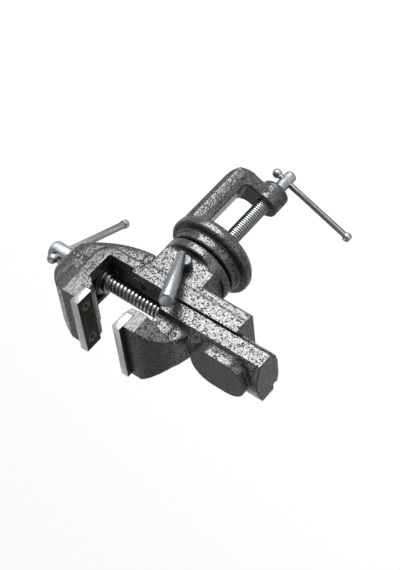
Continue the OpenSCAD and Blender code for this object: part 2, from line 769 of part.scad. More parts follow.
module at_main_bar() {
    translate([x_bar, 0, z_screw]) rotate([bar_turn, 0, 0]) rotate([0, 90 - bar_tilt, 0])
        children();
}
module main_bar() {
    color(zinc) at_main_bar() tommy_bar(bar_r, bar_near(screw_head_r, bar_ball_r), bar_len);
}
module main_bar_ends() {
    color(zinc) at_main_bar()
        tommy_ends(bar_r, bar_ball_r, bar_far_r, bar_near(screw_head_r, bar_ball_r), bar_len);
}

// the lock screw bears in the post's groove and is turned by a lever seated across its head
lock_point_r = 2.8;
lock_point_len = 3;
lever_offset = 3.7;
lever_stand = 7.1;
lever_bevel = 1;

y_lever = -half_body - seat - lever_stand;

module at_lock() {
    translate([-lock_offset, 0, z_lock]) rotate([90, 0, 0]) children();
}
// the lever's cone, with bevelled ends, and grown by the play of its seat
module lever_cone(play) {
    slope = (lever_r - lever_thin_r) / (lever_len + lever_tail);
    translate([-lock_offset, y_lever, z_lock]) rotate([0, -lever_slant, 0])
        translate([lever_offset, 0, 0]) rotate([lever_lean, 0, 0]) rotate_extrude() polygon([
            [0, -lever_tail], [lever_thin_r - lever_bevel + play, -lever_tail],
            [lever_thin_r + slope * lever_bevel + play, lever_bevel - lever_tail],
            [lever_r - slope * lever_bevel + play, lever_len - lever_bevel],
            [lever_r - lever_bevel + play, lever_len], [0, lever_len]]);
}
module lock_screw() {
    y_tip = post_r - post_groove + seat;
    color(zinc) difference() {
        at_lock() rotate_extrude() polygon([[0, y_tip], [lock_point_r, y_tip],
            [lock_point_r, y_tip + lock_point_len], [lock_r, y_tip + lock_point_len + seat_bevel],
            [lock_r, half_body + seat], [lock_head_r, half_body + seat],
            [lock_head_r, half_body + seat + lock_head_len - seat_bevel],
            [lock_head_r - seat_bevel, half_body + seat + lock_head_len],
            [0, half_body + seat + lock_head_len]]);
        lever_cone(fit);
    }
}
module lock_lever() {
    color(steel) lever_cone(0);
}

clamp_frame();
swivel_post();
clamp_pad();
clamp_screw();
clamp_bar();
clamp_bar_ends();
vise_body();
fixed_jaw_plate();
fixed_plate_screws();
lock_screw();
lock_lever();
sliding_jaw();
sliding_jaw_plate();
sliding_plate_screws();
main_screw();
screw_washer();
screw_collar();
collar_pin();
main_bar();
main_bar_ends();
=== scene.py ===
"""Clamp-on swivel bench vise: hammered enamel castings, milled faces, threads and plated bars."""

import json
import math

import bmesh
import bpy
import numpy as np
from mathutils import Matrix, Vector


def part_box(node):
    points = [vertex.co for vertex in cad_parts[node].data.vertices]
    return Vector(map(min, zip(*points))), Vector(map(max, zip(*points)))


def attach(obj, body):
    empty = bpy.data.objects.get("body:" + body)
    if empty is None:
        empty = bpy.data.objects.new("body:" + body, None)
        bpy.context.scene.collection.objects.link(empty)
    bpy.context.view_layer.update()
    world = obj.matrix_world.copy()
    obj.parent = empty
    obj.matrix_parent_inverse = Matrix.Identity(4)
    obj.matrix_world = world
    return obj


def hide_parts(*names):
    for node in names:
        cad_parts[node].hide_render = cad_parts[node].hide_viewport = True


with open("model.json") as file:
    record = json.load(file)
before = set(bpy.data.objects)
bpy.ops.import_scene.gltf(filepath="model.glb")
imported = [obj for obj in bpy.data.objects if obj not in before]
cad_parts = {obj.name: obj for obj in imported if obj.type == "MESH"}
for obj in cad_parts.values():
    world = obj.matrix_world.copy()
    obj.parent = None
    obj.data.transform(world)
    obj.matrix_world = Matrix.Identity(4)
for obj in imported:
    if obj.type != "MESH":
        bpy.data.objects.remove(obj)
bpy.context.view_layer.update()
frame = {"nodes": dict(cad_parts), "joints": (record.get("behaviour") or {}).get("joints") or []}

MM = 0.001
NODES = frame["nodes"]
JOINTS = {joint["name"]: joint for joint in frame["joints"]}

# Places that the CAD nodes and joints give
HALF_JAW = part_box("fixed_jaw_plate")[1].y
SCREW_LOW, SCREW_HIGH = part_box("main_screw")
CLAMP_SCREW_LOW, CLAMP_SCREW_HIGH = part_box("clamp_screw")
SCREW_AXIS = Vector(JOINTS["screw_turn"]["pos_m"])

# Heights and lengths inside the nodes
BED_TOP, SLIDE_UNDERSIDE, MILLED_DEPTH = 67 * MM, 67.3 * MM, 1.2 * MM
ANVIL_TOP, ANVIL_FRONT = 92 * MM, -40 * MM
MAIN_HEAD_LENGTH, CLAMP_HEAD_LENGTH = 19.2 * MM, 20.7 * MM
CLAMP_THREAD_TOP = -9.8 * MM

# The body's hollow, whose faces take near-black paint as painted shade: its whole reach, the throat's wall
# and floor, and the slot below the slide
HOLLOW_BACK, HOLLOW_FRONT, HOLLOW_LOW, HOLLOW_HALF = -48 * MM, 58 * MM, 55 * MM, 25.6 * MM
WALL_BACK, WALL_TOP = 48 * MM, 101.6 * MM
THROAT_BACK, THROAT_FRONT, THROAT_FLOOR = 10 * MM, 52 * MM, 66 * MM
SLOT_HALF, SLOT_TOP, SLOT_FRONT = 12.8 * MM, 91 * MM, 57 * MM
SLOT_RIM, NECK_BACK = 66.95 * MM, 49 * MM

# The body's arm: the middle of its curve, the block's face that it leaves, its foot, its top and its nose
ARM_HEART = np.array([34, 0, 92]) * MM
ARM_WALL, ARM_FOOT, ARM_TOP, ARM_NOSE = 22.3 * MM, 44 * MM, 92 * MM, 74 * MM

# How its underside fills out: the reach of the round, the fades at its two ends, the swell outwards,
# the sag beside the block and, beyond a flat middle, the share of the round that its long edges lose
ARM_ROUND, ARM_WALL_FADE, ARM_TOP_FADE = 4.5 * MM, 1.5 * MM, 6 * MM
ARM_SWELL, ARM_SAG, ARM_FLAT, ARM_EASE = 1.2 * MM, 2.8 * MM, 8 * MM, 0.36

# The line scored along the bed's sides, and the slanted foot of the fixed jaw's swept flank
SCORE_HEIGHT, SCORE_WIDTH, SCORE_FRONT, SCORE_HALF = 54.4 * MM, 0.34 * MM, 26 * MM, 21.5 * MM
SCORE_SHARE = 0.972
FLANK_FOOT_X, FLANK_FOOT_Z, FLANK_SLANT = 50 * MM, 97 * MM, 0.9

# The swell of the slide bar's sides
SWELL_LOW, SWELL_HIGH, SWELL_FRONT, SWELL_SHARE = 66.9 * MM, 87 * MM, -9.5 * MM, 0.05


# Meshes

def add_piece(name, mesh, body, slot, materials, *stands_for):
    """Puts a mesh in the scene as a piece that rides on a body and stands for CAD nodes."""
    piece = bpy.data.objects.new(name, mesh)
    bpy.context.scene.collection.objects.link(piece)
    for material in materials:
        mesh.materials.append(material)
    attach(piece, body)
    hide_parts(*stands_for)
    return piece


def evaluated(name, mesh, kind, **settings):
    """A new mesh: a copy of one with a modifier applied."""
    holder = bpy.data.objects.new(name + "_holder", mesh)
    bpy.context.scene.collection.objects.link(holder)
    modifier = holder.modifiers.new(kind.lower(), kind)
    for setting, value in settings.items():
        setattr(modifier, setting, value)
    result = bpy.data.meshes.new_from_object(holder.evaluated_get(bpy.context.evaluated_depsgraph_get()))
    result.name = name
    bpy.data.objects.remove(holder)
    return result


def shade(mesh, angle=32):
    """Smooth shading that keeps the edges sharper than an angle in degrees."""
    mesh.shade_smooth()
    mesh.set_sharp_from_angle(angle=math.radians(angle))


def stood_along(direction, origin):
    """The matrix that stands local Z along a direction at an origin."""
    turn = Vector(direction).to_track_quat("Z", "Y").to_matrix().to_4x4()
    return Matrix.Translation(Vector(origin)) @ turn


def welded(node):
    """A copy of a CAD node's mesh with its corners welded, in a bmesh."""
    shape = bmesh.new()
    shape.from_mesh(NODES[node].data)
    bmesh.ops.remove_doubles(shape, verts=shape.verts, dist=1e-6)
    for layer in list(shape.loops.layers.uv.values()):
        shape.loops.layers.uv.remove(layer)
    return shape


def mesh_of(name, shape):
    """The mesh of a bmesh, which is freed."""
    mesh = bpy.data.meshes.new(name)
    shape.to_mesh(mesh)
    shape.free()
    return mesh


def cut_off(shape, point, normal):
    """Cuts away the side of a solid that a normal points to, and closes the cut."""
    geometry = shape.verts[:] + shape.edges[:] + shape.faces[:]
    cut = bmesh.ops.bisect_plane(shape, geom=geometry, plane_co=point, plane_no=normal, clear_outer=True)
    rim = [e for e in cut["geom_cut"] if isinstance(e, bmesh.types.BMEdge)]
    bmesh.ops.edgeloop_fill(shape, edges=rim)


def softened(name, node, width, segments=3, cuts=()):
    """A copy of a CAD node with its sharp edges rounded, after any cuts."""
    shape = welded(node)
    for point, normal in cuts:
        cut_off(shape, point, normal)
    bmesh.ops.dissolve_limit(shape, angle_limit=math.radians(1), verts=shape.verts, edges=shape.edges)
    result = evaluated(name, mesh_of(name, shape), "BEVEL", width=width, segments=segments,
                       limit_method="ANGLE", angle_limit=math.radians(35), use_clamp_overlap=True)
    shade(result)
    return result


def joined(name, *meshes):
    """One mesh made of several, each a closed part of its own."""
    shape = bmesh.new()
    for mesh in meshes:
        shape.from_mesh(mesh)
    return mesh_of(name, shape)


def cast(name, node, voxel, rounds, milled, keep=1.0, dressed=None):
    """A sand-cast copy of a CAD node: its edges are worn round and its corners filled,
    except where milled(points) says that the points were machined. dressed(points) works on the
    points afterwards, and the piece keeps a share of its faces."""
    skin = evaluated(name, mesh_of(name, welded(node)), "REMESH", mode="VOXEL", voxel_size=voxel)
    points = np.empty(len(skin.vertices) * 3)
    skin.vertices.foreach_get("co", points)
    points = points.reshape(-1, 3)
    edges = np.empty(len(skin.edges) * 2, dtype=np.int64)
    skin.edges.foreach_get("vertices", edges)
    edges = edges.reshape(-1, 2)
    ends = np.concatenate([edges[:, 0], edges[:, 1]])
    others = np.concatenate([edges[:, 1], edges[:, 0]])
    count = np.maximum(np.bincount(ends, minlength=len(points)), 1)[:, None]
    give = np.where(milled(points), 0.0, 0.5)[:, None]
    for _ in range(rounds):
        mean = np.stack([np.bincount(ends, weights=points[others, k], minlength=len(points))
                         for k in range(3)], axis=-1) / count
        points = points + give * (mean - points)
    if dressed is not None:
        points = dressed(points)
    skin.vertices.foreach_set("co", points.ravel())
    skin.update()
    if keep < 1:
        skin = evaluated(name, skin, "DECIMATE", decimate_type="COLLAPSE", ratio=keep)
    skin.shade_smooth()
    return skin


def faded(values, start, span):
    """0 up to a start and 1 past a span from there, or the other way with a span below zero."""
    return np.clip((values - start) / span, 0, 1)


def give_faces(mesh, index, where):
    """Gives a material index to the faces whose centres and normals where(centres, normals) picks."""
    count = len(mesh.polygons)
    centres, normals = np.empty(count * 3), np.empty(count * 3)
    mesh.polygons.foreach_get("center", centres)
    mesh.polygons.foreach_get("normal", normals)
    kinds = np.empty(count, dtype=np.int32)
    mesh.polygons.foreach_get("material_index", kinds)
    kinds[where(centres.reshape(-1, 3), normals.reshape(-1, 3))] = index
    mesh.polygons.foreach_set("material_index", kinds)


def ringed(name, rings, segments, bottom, top):
    """A closed mesh about local Z: rings of points stacked upwards between two poles."""
    last, faces = len(rings) - segments, []
    for i in range(segments):
        j = (i + 1) % segments
        faces += [(row + i, row + j, row + segments + j, row + segments + i)
                  for row in range(0, last, segments)]
        faces += [(len(rings), j, i), (len(rings) + 1, last + i, last + j)]
    mesh = bpy.data.meshes.new(name)
    mesh.from_pydata(rings + [(0, 0, bottom), (0, 0, top)], [], faces)
    mesh.update()
    return mesh


def thread(name, crest, root, pitch, low, high, crest_share, flank_share, per_turn=18):
    """A closed rod along local Z with a helical ridge: its radius follows the helix's phase."""
    segments, rows = 64, int(round((high - low) / pitch * per_turn))
    angles = np.linspace(0, 2 * math.pi, segments, endpoint=False)
    height, angle = np.meshgrid(np.linspace(low, high, rows + 1), angles, indexing="ij")
    phase = np.abs((height / pitch - angle / (2 * math.pi)) % 1.0 - 0.5) * 2
    rise = faded(phase, 1 - crest_share - flank_share, flank_share)
    rise = rise * rise * (3 - 2 * rise)
    run_out = faded(np.minimum(height - low, high - height), 0, 0.6 * pitch)
    radius = root + (crest - root) * rise * run_out
    rings = np.stack([radius * np.cos(angle), radius * np.sin(angle), height], axis=-1).reshape(-1, 3)
    mesh = ringed(name, rings.tolist(), segments, low, high)
    shade(mesh, 50)
    return mesh


def turned(name, profile):
    """A closed solid of revolution about local Z, from (radius, height) points between two poles."""
    segments = 56
    rings = [(radius * math.cos(turn), radius * math.sin(turn), height) for radius, height in profile[1:-1]
             for turn in np.linspace(0, 2 * math.pi, segments, endpoint=False)]
    mesh = ringed(name, rings, segments, profile[0][1], profile[-1][1])
    shade(mesh, 40)
    return mesh


def rounding(centre, radius, start, stop, steps=6):
    """Points of an arc in a (radius, height) profile, between two angles in degrees."""
    turns = [math.radians(turn) for turn in np.linspace(start, stop, steps)]
    return [(centre[0] + radius * math.cos(turn), centre[1] + radius * math.sin(turn)) for turn in turns]


def local_points(node, stood):
    """A CAD node's corners, in the place that a matrix stands."""
    return np.array([stood.inverted() @ vertex.co for vertex in NODES[node].data.vertices])


def stood_in(node, direction):
    """A matrix that stands local Z along a direction through the middle of a CAD node."""
    turn = stood_along(direction, (0, 0, 0))
    points = local_points(node, turn)
    middle = (points.min(axis=0) + points.max(axis=0)) / 2
    return turn @ Matrix.Translation(Vector(middle))


# Materials

def add_node(tree, kind, values=None, **props):
    """A node of a tree with its properties set and its inputs given or linked."""
    made = tree.nodes.new(kind)
    for name, value in props.items():
        setattr(made, name, value)
    for name, value in (values or {}).items():
        if isinstance(value, bpy.types.NodeSocket):
            tree.links.new(value, made.inputs[name])
        else:
            made.inputs[name].default_value = value
    return made


def math_node(tree, operation, *values):
    """The result of a sum on values and sockets."""
    return add_node(tree, "ShaderNodeMath", dict(enumerate(values)), operation=operation).outputs[0]


def ramp(tree, value, low, high, to_low=0.0, to_high=1.0):
    """A value eased from one range to another."""
    given = {"Value": value, "From Min": low, "From Max": high, "To Min": to_low, "To Max": to_high}
    return add_node(tree, "ShaderNodeMapRange", given, interpolation_type="SMOOTHSTEP").outputs[0]


def mixed(tree, factor, first, second):
    """A colour between two, by a factor that changes over the surface."""
    made = add_node(tree, "ShaderNodeMix", data_type="RGBA")
    for socket, value in zip((made.inputs[0], made.inputs[6], made.inputs[7]), (factor, first, second)):
        if isinstance(value, bpy.types.NodeSocket):
            tree.links.new(value, socket)
        else:
            socket.default_value = value
    return made.outputs[2]


def grey(level, warmth=0.0):
    """A linear grey, warm above zero and cool below."""
    return (level * (1 + warmth), level, level * (1 - warmth), 1)


def new_group(name, inputs, outputs):
    """A shader node group with float inputs, given with their defaults, and float outputs."""
    tree = bpy.data.node_groups.new(name, "ShaderNodeTree")
    for socket, default in inputs.items():
        made = tree.interface.new_socket(socket, in_out="INPUT", socket_type="NodeSocketFloat")
        made.default_value = default
    for socket in outputs:
        tree.interface.new_socket(socket, in_out="OUTPUT", socket_type="NodeSocketFloat")
    return tree, add_node(tree, "NodeGroupInput").outputs, add_node(tree, "NodeGroupOutput").inputs


def object_place(tree):
    """A point's place in its own piece, in metres."""
    return add_node(tree, "ShaderNodeTexCoord").outputs["Object"]


def per_metre(tree, size):
    """The texture scale at which a feature has a size in mm."""
    return math_node(tree, "DIVIDE", 1 / MM, size)


def hammered_enamel_group():
    """Round pits where the enamel drew back, an orange-peel skin and a fine metal speckle."""
    tree, given, put = new_group("hammered enamel", {"Cell mm": 1.7, "Pit mm": 1.4, "Peel mm": 1.0},
                                 ["Pits", "Speckle", "Height"])
    place = object_place(tree)
    drift = add_node(tree, "ShaderNodeTexNoise", {"Vector": place, "Scale": 500.0, "Detail": 1.0})
    bent = add_node(tree, "ShaderNodeMixRGB",
                    {"Fac": 0.0008, "Color1": place, "Color2": drift.outputs["Color"]}, blend_type="ADD")
    cells = add_node(tree, "ShaderNodeTexVoronoi",
                     {"Vector": bent.outputs[0], "Scale": per_metre(tree, given["Cell mm"])})
    chance = add_node(tree, "ShaderNodeSeparateXYZ", {0: cells.outputs["Color"]}).outputs[0]
    size = ramp(tree, chance, 0.0, 1.0, 0.4, 1.15)
    reach = math_node(tree, "MULTIPLY", size, math_node(tree, "DIVIDE", given["Pit mm"], given["Cell mm"]))
    inner = math_node(tree, "MULTIPLY", reach, 0.36)
    outer = math_node(tree, "MULTIPLY", reach, 0.62)
    pits = ramp(tree, cells.outputs["Distance"], inner, outer, 1.0, 0.0)
    peel = add_node(tree, "ShaderNodeTexNoise",
                    {"Vector": place, "Scale": per_metre(tree, given["Peel mm"]),
                     "Detail": 1.0, "Roughness": 0.5})
    speckle = add_node(tree, "ShaderNodeTexNoise", {"Vector": place, "Scale": 1100.0, "Detail": 1.0})
    tree.links.new(pits, put["Pits"])
    tree.links.new(ramp(tree, speckle.outputs[0], 0.4, 0.6), put["Speckle"])
    dent = math_node(tree, "MULTIPLY", pits, -1.0)
    skin = math_node(tree, "MULTIPLY", peel.outputs[0], 1.6)
    tree.links.new(math_node(tree, "ADD", dent, skin), put["Height"])
    return tree


def ground_lines_group():
    """Lines left by a cutter or a grinding wheel, along the axis with the longest stretch."""
    tree, given, put = new_group("ground lines", {"X per mm": 1.0, "Y per mm": 1.0, "Z per mm": 1.0},
                                 ["Lines", "Bands"])
    stretch = add_node(tree, "ShaderNodeCombineXYZ",
                       {axis: math_node(tree, "MULTIPLY", given[axis + " per mm"], 1 / MM)
                        for axis in "XYZ"})
    place = add_node(tree, "ShaderNodeVectorMath", {0: object_place(tree), 1: stretch.outputs[0]},
                     operation="MULTIPLY").outputs[0]
    lines = add_node(tree, "ShaderNodeTexNoise", {"Vector": place, "Scale": 3.0, "Detail": 3.0})
    bands = add_node(tree, "ShaderNodeTexNoise",
                     {"Vector": place, "Scale": 0.6, "Detail": 1.0, "Distortion": 0.6})
    tree.links.new(ramp(tree, lines.outputs[0], 0.3, 0.7), put["Lines"])
    tree.links.new(ramp(tree, bands.outputs[0], 0.38, 0.62), put["Bands"])
    return tree


def thread_root_shade_group():
    """How deep a point lies in a thread whose axis is local Z, for painted shade in its root: 1 at the root
    and 0 at the crest.
    """
    tree, given, put = new_group("thread root shade", {"Root mm": 5.0, "Crest mm": 6.0}, ["Depth"])
    parts = add_node(tree, "ShaderNodeSeparateXYZ", {0: object_place(tree)}).outputs
    squared = math_node(tree, "ADD", math_node(tree, "MULTIPLY", parts[0], parts[0]),
                        math_node(tree, "MULTIPLY", parts[1], parts[1]))
    radius = math_node(tree, "MULTIPLY", math_node(tree, "SQRT", squared), 1 / MM)
    tree.links.new(ramp(tree, radius, given["Root mm"], given["Crest mm"], 1.0, 0.0), put["Depth"])
    return tree


GROUPS = {"enamel": hammered_enamel_group(), "lines": ground_lines_group(), "root_shade": thread_root_shade_group()}


def use_group(tree, group, **values):
    """Places a shared group in a material with its own values, and gives its outputs."""
    made = add_node(tree, "ShaderNodeGroup", node_tree=GROUPS[group])
    for name, value in values.items():
        made.inputs[name.replace("_", " ")].default_value = value
    return made.outputs


def new_material(name, metallic, roughness=0.3, base=(0.8, 0.8, 0.8, 1), **more):
    """A material with a Principled shader; returns the material, its tree and the shader's inputs."""
    material = bpy.data.materials.new(name)
    material.use_nodes = True
    tree = material.node_tree
    shader = tree.nodes["Principled BSDF"].inputs
    shader["Base Color"].default_value = base
    shader["Metallic"].default_value = metallic
    shader["Roughness"].default_value = roughness
    for socket, value in more.items():
        shader[socket.replace("_", " ")].default_value = value
    return material, tree, shader


def bumped(tree, shader, height, strength, distance):
    """Gives a shader the relief of a height, with a full height's depth in metres."""
    bump = add_node(tree, "ShaderNodeBump", {"Height": height, "Strength": strength, "Distance": distance})
    tree.links.new(bump.outputs[0], shader["Normal"])


def enamel_material():
    """Thick charcoal paint with metal flake, glossy between its dull pits."""
    material, tree, shader = new_material("hammered charcoal enamel", 0.6, Specular_IOR_Level=0.4)
    skin = use_group(tree, "enamel")
    flake = mixed(tree, skin["Speckle"], grey(0.04, -0.02), grey(0.1, -0.02))
    tree.links.new(mixed(tree, skin["Pits"], flake, grey(0.02)), shader["Base Color"])
    tree.links.new(ramp(tree, skin["Pits"], 0, 1, 0.12, 0.6), shader["Roughness"])
    bumped(tree, shader, skin["Height"], 1.0, 0.11 * MM)
    return material


def shade_painted_recess_material():
    """Painted shade: a near-black satin paint inside the throat and under the jaw's plate, far darker than
    the enamel.
    """
    material, tree, shader = new_material("satin recess paint as painted shade", 0.0, 0.5)
    skin = use_group(tree, "enamel", Peel_mm=3.0)
    # Painted shade: near-black greys where shade falls in the recesses
    tree.links.new(mixed(tree, skin["Speckle"], grey(0.006, 0.1), grey(0.016, 0.12)), shader["Base Color"])
    bumped(tree, shader, skin["Height"], 0.5, 0.1 * MM)
    return material


def ground_steel_material(name, low, high):
    """Steel with grinding lines along Y, between two greys."""
    material, tree, shader = new_material(name, 1.0)
    marks = use_group(tree, "lines", X_per_mm=1.0, Y_per_mm=0.05, Z_per_mm=1.0)
    tree.links.new(mixed(tree, marks["Lines"], grey(low), grey(high)), shader["Base Color"])
    tree.links.new(ramp(tree, marks["Bands"], 0, 1, 0.28, 0.42), shader["Roughness"])
    bumped(tree, shader, marks["Lines"], 0.3, 0.03 * MM)
    return material


def swept_steel_material():
    """Bare metal with the steep sweeps of a hand grinder."""
    material, tree, shader = new_material("steel swept by a grinder", 1.0)
    marks = use_group(tree, "lines", X_per_mm=1.6, Y_per_mm=0.5, Z_per_mm=0.3)
    streaks = mixed(tree, marks["Lines"], grey(0.03, 0.03), grey(0.1, 0.02))
    tree.links.new(mixed(tree, marks["Bands"], streaks, grey(0.15, 0.02)), shader["Base Color"])
    tree.links.new(ramp(tree, marks["Lines"], 0, 1, 0.36, 0.5), shader["Roughness"])
    bumped(tree, shader, marks["Lines"], 0.6, 0.08 * MM)
    return material


def anvil_face_material():
    """Bare iron with a milling cutter's lines along Y."""
    material, tree, shader = new_material("milled iron", 0.6)
    marks = use_group(tree, "lines", X_per_mm=1.0, Y_per_mm=0.06, Z_per_mm=1.0)
    tree.links.new(mixed(tree, marks["Lines"], grey(0.045, 0.1), grey(0.085, 0.1)), shader["Base Color"])
    tree.links.new(ramp(tree, marks["Bands"], 0, 1, 0.42, 0.55), shader["Roughness"])
    bumped(tree, shader, marks["Lines"], 0.4, 0.03 * MM)
    return material


def blackened_shaded_material():
    """Steel blackened in oil, with cloudy patches, kept near-black partly as painted shade."""
    material, tree, shader = new_material("oil-blackened steel with painted shade", 0.0, Specular_IOR_Level=0.1)
    marks = use_group(tree, "lines", X_per_mm=0.5, Y_per_mm=0.3, Z_per_mm=0.3)
    # Near-black greys: partly blackened steel, partly painted shade on the plates' broad faces
    tree.links.new(mixed(tree, marks["Bands"], grey(0.012, 0.12), grey(0.024, 0.12)), shader["Base Color"])
    tree.links.new(ramp(tree, marks["Lines"], 0, 1, 0.45, 0.6), shader["Roughness"])
    return material


def socket_screw_material():
    """Small screws of an even bronze."""
    return new_material("bronzed socket screws", 0.8, 0.4, (0.09, 0.08, 0.045, 1))[0]


def threaded_material(name, root, crest, tint):
    """Plate on a thread's crests that turns rougher towards its root, where painted shade darkens its
    colour.
    """
    material, tree, shader = new_material(name, 1.0, Specular_Tint=(0.5, 0.52, 0.52, 1))
    depth = use_group(tree, "root_shade", Root_mm=root / MM, Crest_mm=crest / MM)["Depth"]
    # Painted shade: the colour falls to a dark grey in the thread's root
    tree.links.new(mixed(tree, depth, tint, grey(0.1)), shader["Base Color"])
    tree.links.new(ramp(tree, depth, 0, 1, 0.26, 0.5), shader["Roughness"])
    return material


def zinc_material(name, low, high, rough):
    """Cloudy zinc plate, between two greys, from a roughness upwards."""
    material, tree, shader = new_material(name, 1.0, Specular_Tint=(0.6, 0.62, 0.63, 1))
    marks = use_group(tree, "lines", X_per_mm=0.35, Y_per_mm=0.35, Z_per_mm=0.35)
    tree.links.new(mixed(tree, marks["Bands"], grey(low, -0.06), grey(high, -0.05)), shader["Base Color"])
    tree.links.new(ramp(tree, marks["Lines"], 0, 1, rough, rough + 0.1), shader["Roughness"])
    return material


def drawn_bar_material(name, low, high):
    """Rod drawn along local Z, with dull streaks along it."""
    material, tree, shader = new_material(name, 1.0, Specular_Tint=(0.3, 0.31, 0.32, 1))
    marks = use_group(tree, "lines", X_per_mm=0.7, Y_per_mm=0.7, Z_per_mm=0.02)
    tree.links.new(mixed(tree, marks["Bands"], grey(low, -0.06), grey(high, -0.04)), shader["Base Color"])
    tree.links.new(ramp(tree, marks["Lines"], 0, 1, 0.18, 0.34), shader["Roughness"])
    return material


def lever_material():
    """Satin steel with fine lines round local Z."""
    material, tree, shader = new_material("satin grey lever", 1.0)
    marks = use_group(tree, "lines", X_per_mm=0.1, Y_per_mm=0.1, Z_per_mm=0.5)
    tree.links.new(mixed(tree, marks["Lines"], grey(0.26, -0.06), grey(0.29, -0.05)), shader["Base Color"])
    tree.links.new(ramp(tree, marks["Bands"], 0, 1, 0.27, 0.29), shader["Roughness"])
    return material


def blasted_material():
    """Dull steel, blasted with grit."""
    material, tree, shader = new_material("blasted steel", 1.0, 0.42)
    marks = use_group(tree, "lines", X_per_mm=0.8, Y_per_mm=0.8, Z_per_mm=0.8)
    tree.links.new(mixed(tree, marks["Lines"], grey(0.07, -0.05), grey(0.12, -0.05)), shader["Base Color"])
    bumped(tree, shader, marks["Lines"], 0.4, 0.04 * MM)
    return material


ENAMEL = enamel_material()
SHADE_PAINTED_RECESS = shade_painted_recess_material()
GROUND = ground_steel_material("ground steel", 0.42, 0.64)
SAWN = ground_steel_material("sawn steel", 0.17, 0.28)
SWEPT = swept_steel_material()
MILLED = anvil_face_material()
BLACKED_AND_SHADED = blackened_shaded_material()
SOCKETS = socket_screw_material()
ZINC = zinc_material("zinc plate", 0.3, 0.42, 0.2)
BRIGHT = zinc_material("bright zinc plate", 0.32, 0.44, 0.36)
# One plated rod in two copies: the main bar's lighter as painted light, the clamp bar's darker as painted
# shade
PLATED_ROD_LIT_COPY = drawn_bar_material("drawn rod plate, lit copy", 0.3, 0.58)
PLATED_ROD_SHADED_COPY = drawn_bar_material("drawn rod plate, shaded copy", 0.13, 0.3)
SATIN = lever_material()
BLASTED = blasted_material()


# Pieces

def jaw_flank(points, depth=0.35 * MM):
    """Points on the flat flanks of a cast jaw, level with the ends of its plate."""
    return np.abs(points[:, 1]) > HALF_JAW - depth


def near_height(points, height, depth):
    """Points less than a depth above or below a height."""
    return np.abs(points[:, 2] - height) < depth


def in_shade_painted_recess(centres, normals):
    """Faces that take near-black paint as painted shade: the throat's wall and floor, the channel round
    them, the slot and the face below the plate.
    """
    x, y, z = centres.T
    inside = (x > HOLLOW_BACK) & (x < HOLLOW_FRONT) & (z > HOLLOW_LOW) & (np.abs(y) < HOLLOW_HALF)
    wall = (normals[:, 0] < -0.5) & (x > WALL_BACK) & (z < WALL_TOP) & (np.abs(y) < HALF_JAW)
    ground = (normals[:, 2] > 0.5) & (x > THROAT_BACK) & (x < THROAT_FRONT) & (z < THROAT_FLOOR)
    slot = (np.abs(y) < SLOT_HALF) & (z < SLOT_TOP) & (x < SLOT_FRONT) & ((z < SLOT_RIM) | (x > NECK_BACK))
    return wall | inside & (slot | ground)


def arm_rim(points, turn, reach):
    """The middle line of the arm's underside, as (x, z) points farthest from its heart at each turn."""
    x, y, z = points.T
    clear, strip = 0.4 * MM, 3 * MM
    middle = (x > ARM_WALL + clear) & (np.abs(y) < strip) & (z > ARM_FOOT) & (z < ARM_TOP - ARM_TOP_FADE)
    bins = np.linspace(-math.pi, 0.1, 90)
    places = [(low + high) / 2 for low, high in zip(bins[:-1], bins[1:])
              if (middle & (turn >= low) & (turn < high)).any()]
    far = [reach[middle & (np.abs(turn - place) < 0.02)].max() for place in places]
    return np.stack([np.cos(places) * far + ARM_HEART[0], np.sin(places) * far + ARM_HEART[2]], axis=1)


def eased_arm(points):
    """Fills out the arm's underside, eases its long edges, and scores the line along the bed's sides."""
    x, y, z = points.T
    turn = np.arctan2(z - ARM_HEART[2], x - ARM_HEART[0])
    reach = np.hypot(z - ARM_HEART[2], x - ARM_HEART[0])
    rim = arm_rim(points, turn, reach)
    near = np.flatnonzero((x > ARM_WALL) & (z > ARM_FOOT) & (z < ARM_TOP) & (reach > 20 * MM))
    gap = np.hypot(x[near][:, None] - rim[:, 0], z[near][:, None] - rim[:, 1]).min(axis=1)
    inner = faded(gap, ARM_ROUND, -ARM_ROUND) * faded(x[near], ARM_WALL, ARM_WALL_FADE) \
        * faded(z[near], ARM_TOP, -ARM_TOP_FADE)
    outward = (points[near] - ARM_HEART) * (1, 0, 1) / reach[near][:, None]
    inset = ARM_EASE * ARM_ROUND * (1 - np.sqrt(1 - inner ** 2)) * faded(np.abs(y[near]), ARM_FLAT, ARM_FLAT)
    points[near] += outward * (ARM_SWELL * inner)[:, None]
    points[near, 2] -= ARM_SAG * inner * faded(x[near], ARM_NOSE, ARM_WALL - ARM_NOSE)
    points[near, 1] -= np.sign(points[near, 1]) * inset
    scored = near_height(points, SCORE_HEIGHT, SCORE_WIDTH) & (x < SCORE_FRONT) & (np.abs(y) > SCORE_HALF)
    points[scored, 1] *= SCORE_SHARE
    return points


def milled_body(points):
    """The fixed jaw's flanks and the bed's top, where no edge wears round."""
    return jaw_flank(points) | near_height(points, BED_TOP, MILLED_DEPTH)


def swept_flank(centres, normals):
    """The fixed jaw's flanks, down to a slanted line at the foot of its plate."""
    above = centres[:, 0] - FLANK_FOOT_X > FLANK_SLANT * (FLANK_FOOT_Z - centres[:, 2])
    return jaw_flank(centres) & (np.abs(normals[:, 1]) > 0.9) & above


def build_body():
    """The body's casting, with its recesses in near-black paint as painted shade and its jaw's flanks bare.
    """
    mesh = cast("vise_body_casting", "vise_body", 0.62 * MM, 3, milled_body, 0.6, eased_arm)
    give_faces(mesh, 2, in_shade_painted_recess)
    give_faces(mesh, 1, swept_flank)
    add_piece("vise_body_casting", mesh, "vise", "cast_paint", [ENAMEL, SWEPT, SHADE_PAINTED_RECESS], "vise_body")


def on_anvil(points):
    """Points on the anvil's top."""
    return near_height(points, ANVIL_TOP, 0.4 * MM) & (points[:, 0] < ANVIL_FRONT)


